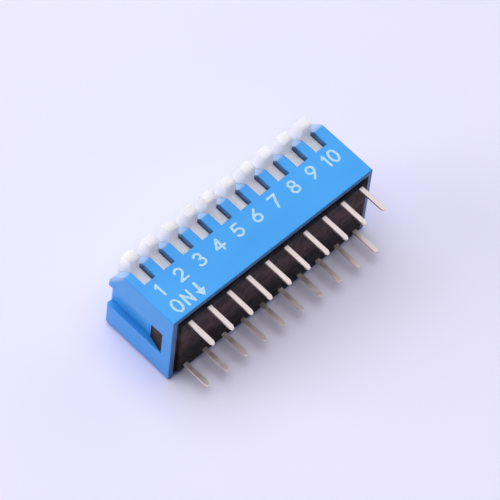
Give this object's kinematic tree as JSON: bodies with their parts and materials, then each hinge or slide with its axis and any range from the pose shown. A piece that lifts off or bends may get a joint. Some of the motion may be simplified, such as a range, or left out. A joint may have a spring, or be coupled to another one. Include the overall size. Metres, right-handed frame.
{
  "type": "dip switch",
  "caption": "Piano-type DIP switch lying on its back: a row of white rocker levers in a blue housing, on a black base with rows of gold-plated board pins.",
  "frame": {"origin": "middle of the housing's flat back face, on which the switch lies", "axes": "+X along the row of levers from the first to the last, +Z out of the back face towards the numbered face, +Y away from the board, so the pins point along -Y"},
  "size_m": [0.0266, 0.0125, 0.0116],
  "materials": {
    "blue_housing": "satin moulded thermoplastic",
    "black_base": "matte glass-filled thermoplastic",
    "white_lever": "smooth moulded thermoplastic",
    "gold_contact": "gold-plated spring strip",
    "gold_terminal": "thin gold plating on stamped copper alloy"
  },
  "bodies": {
    "case": {"housing": "blue_housing", "base": "black_base", "front_terminal_1": "gold_terminal", "front_terminal_2": "gold_terminal", "front_terminal_3": "gold_terminal", "front_terminal_4": "gold_terminal", "front_terminal_5": "gold_terminal", "front_terminal_6": "gold_terminal", "front_terminal_7": "gold_terminal", "front_terminal_8": "gold_terminal", "front_terminal_9": "gold_terminal", "front_terminal_10": "gold_terminal", "rear_terminal_1": "gold_terminal", "rear_terminal_2": "gold_terminal", "rear_terminal_3": "gold_terminal", "rear_terminal_4": "gold_terminal", "rear_terminal_5": "gold_terminal", "rear_terminal_6": "gold_terminal", "rear_terminal_7": "gold_terminal", "rear_terminal_8": "gold_terminal", "rear_terminal_9": "gold_terminal", "rear_terminal_10": "gold_terminal"},
    "rocker_1": {"lever_1": "white_lever", "contact_clip_1": "gold_contact"},
    "rocker_2": {"lever_2": "white_lever", "contact_clip_2": "gold_contact"},
    "rocker_3": {"lever_3": "white_lever", "contact_clip_3": "gold_contact"},
    "rocker_4": {"lever_4": "white_lever", "contact_clip_4": "gold_contact"},
    "rocker_5": {"lever_5": "white_lever", "contact_clip_5": "gold_contact"},
    "rocker_6": {"lever_6": "white_lever", "contact_clip_6": "gold_contact"},
    "rocker_7": {"lever_7": "white_lever", "contact_clip_7": "gold_contact"},
    "rocker_8": {"lever_8": "white_lever", "contact_clip_8": "gold_contact"},
    "rocker_9": {"lever_9": "white_lever", "contact_clip_9": "gold_contact"},
    "rocker_10": {"lever_10": "white_lever", "contact_clip_10": "gold_contact"}
  },
  "joints": [
    {"name": "rocker_1_tilt", "type": "hinge", "parent": "case", "child": "rocker_1", "pos_m": [-0.01163, 0.00175, 0.00801], "axis": [1, 0, 0], "range_deg": [0, 20]},
    {"name": "rocker_2_tilt", "type": "hinge", "parent": "case", "child": "rocker_2", "pos_m": [-0.00909, 0.00175, 0.00801], "axis": [1, 0, 0], "range_deg": [0, 20]},
    {"name": "rocker_3_tilt", "type": "hinge", "parent": "case", "child": "rocker_3", "pos_m": [-0.00655, 0.00175, 0.00801], "axis": [1, 0, 0], "range_deg": [0, 20]},
    {"name": "rocker_4_tilt", "type": "hinge", "parent": "case", "child": "rocker_4", "pos_m": [-0.00401, 0.00175, 0.00801], "axis": [1, 0, 0], "range_deg": [0, 20]},
    {"name": "rocker_5_tilt", "type": "hinge", "parent": "case", "child": "rocker_5", "pos_m": [-0.00147, 0.00175, 0.00801], "axis": [1, 0, 0], "range_deg": [0, 20]},
    {"name": "rocker_6_tilt", "type": "hinge", "parent": "case", "child": "rocker_6", "pos_m": [0.00107, 0.00175, 0.00801], "axis": [1, 0, 0], "range_deg": [0, 20]},
    {"name": "rocker_7_tilt", "type": "hinge", "parent": "case", "child": "rocker_7", "pos_m": [0.00361, 0.00175, 0.00801], "axis": [1, 0, 0], "range_deg": [0, 20]},
    {"name": "rocker_8_tilt", "type": "hinge", "parent": "case", "child": "rocker_8", "pos_m": [0.00615, 0.00175, 0.00801], "axis": [1, 0, 0], "range_deg": [0, 20]},
    {"name": "rocker_9_tilt", "type": "hinge", "parent": "case", "child": "rocker_9", "pos_m": [0.00869, 0.00175, 0.00801], "axis": [1, 0, 0], "range_deg": [0, 20]},
    {"name": "rocker_10_tilt", "type": "hinge", "parent": "case", "child": "rocker_10", "pos_m": [0.01123, 0.00175, 0.00801], "axis": [1, 0, 0], "range_deg": [0, 20]}
  ]
}
